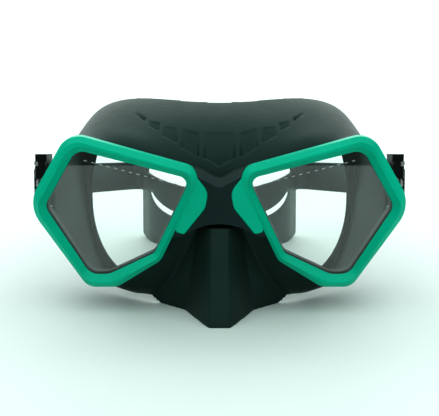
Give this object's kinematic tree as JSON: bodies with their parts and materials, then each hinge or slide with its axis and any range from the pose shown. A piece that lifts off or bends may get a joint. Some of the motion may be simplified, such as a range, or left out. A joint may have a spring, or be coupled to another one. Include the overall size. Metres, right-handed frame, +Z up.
{
  "type": "diving mask",
  "caption": "Two-lens silicone diving mask with nose pocket, green bezels, swivel buckles and a split head strap.",
  "frame": {"origin": "centre of the mask's footprint on the surface it stands on", "axes": "+X across to the picture's right, +Y backwards towards the wearer, +Z up"},
  "size_m": [0.1832, 0.1509, 0.0924],
  "materials": {
    "silicone_black": "matt moulded silicone, smooth",
    "silicone_strap": "satin silicone",
    "frame_plastic": "fine satin",
    "bezel_green": "satin gloss",
    "tempered_glass": "polished",
    "steel": "brushed",
    "roller_plastic": "satin",
    "buckle_plastic": "satin"
  },
  "bodies": {
    "mask": {"skirt": "silicone_black", "frame": "frame_plastic", "lens_left": "tempered_glass", "lens_right": "tempered_glass", "bezel_left": "bezel_green", "bezel_right": "bezel_green", "pivot_pin_left": "steel", "pivot_pin_right": "steel"},
    "strap": {"strap": "silicone_strap"},
    "buckle_left": {"buckle_left": "buckle_plastic", "roller_pin_left": "steel", "lever_pin_left": "steel", "lever_spring_left": "steel"},
    "roller_left": {"roller_left": "roller_plastic"},
    "lever_left": {"lever_left": "buckle_plastic"},
    "keeper_left": {"keeper_left": "silicone_strap"},
    "buckle_right": {"buckle_right": "buckle_plastic", "roller_pin_right": "steel", "lever_pin_right": "steel", "lever_spring_right": "steel"},
    "roller_right": {"roller_right": "roller_plastic"},
    "lever_right": {"lever_right": "buckle_plastic"},
    "keeper_right": {"keeper_right": "silicone_strap"}
  },
  "joints": [
    {"name": "strap_swing", "type": "hinge", "parent": "mask", "child": "strap", "pos_m": [0, -0.0313, 0.055], "axis": [1, 0, 0], "range_deg": [-25, 75]},
    {"name": "buckle_left_swing", "type": "hinge", "parent": "mask", "child": "buckle_left", "pos_m": [-0.0815, -0.0313, 0.055], "axis": [1, 0, 0], "range_deg": [-25, 75]},
    {"name": "roller_left_turn", "type": "hinge", "parent": "buckle_left", "child": "roller_left", "pos_m": [-0.0838, -0.0195, 0.05281], "axis": [0, 0.1822, 0.9833], "continuous": true},
    {"name": "lever_left_lift", "type": "hinge", "parent": "buckle_left", "child": "lever_left", "pos_m": [-0.0852, -0.03376, 0.05546], "axis": [0, 0.1822, 0.9833], "range_deg": [0, 18], "stiffness_Nm_per_rad": 0.02, "springref_deg": -20.05},
    {"name": "keeper_left_slide", "type": "slide", "parent": "strap", "child": "keeper_left", "axis": [0.3338, 0.9268, -0.1718], "range_m": [-0.004, 0.004]},
    {"name": "buckle_right_swing", "type": "hinge", "parent": "mask", "child": "buckle_right", "pos_m": [0.0815, -0.0313, 0.055], "axis": [1, 0, 0], "range_deg": [-25, 75]},
    {"name": "roller_right_turn", "type": "hinge", "parent": "buckle_right", "child": "roller_right", "pos_m": [0.0838, -0.0195, 0.05281], "axis": [0, 0.1822, 0.9833], "continuous": true},
    {"name": "lever_right_lift", "type": "hinge", "parent": "buckle_right", "child": "lever_right", "pos_m": [0.0852, -0.03376, 0.05546], "axis": [0, -0.1822, -0.9833], "range_deg": [0, 18], "stiffness_Nm_per_rad": 0.02, "springref_deg": -20.05},
    {"name": "keeper_right_slide", "type": "slide", "parent": "strap", "child": "keeper_right", "axis": [-0.3338, 0.9268, -0.1718], "range_m": [-0.004, 0.004]}
  ],
  "couplings": [
    {"joint": "buckle_left_swing", "follows": "strap_swing", "ratio": 1},
    {"joint": "buckle_right_swing", "follows": "strap_swing", "ratio": 1}
  ]
}
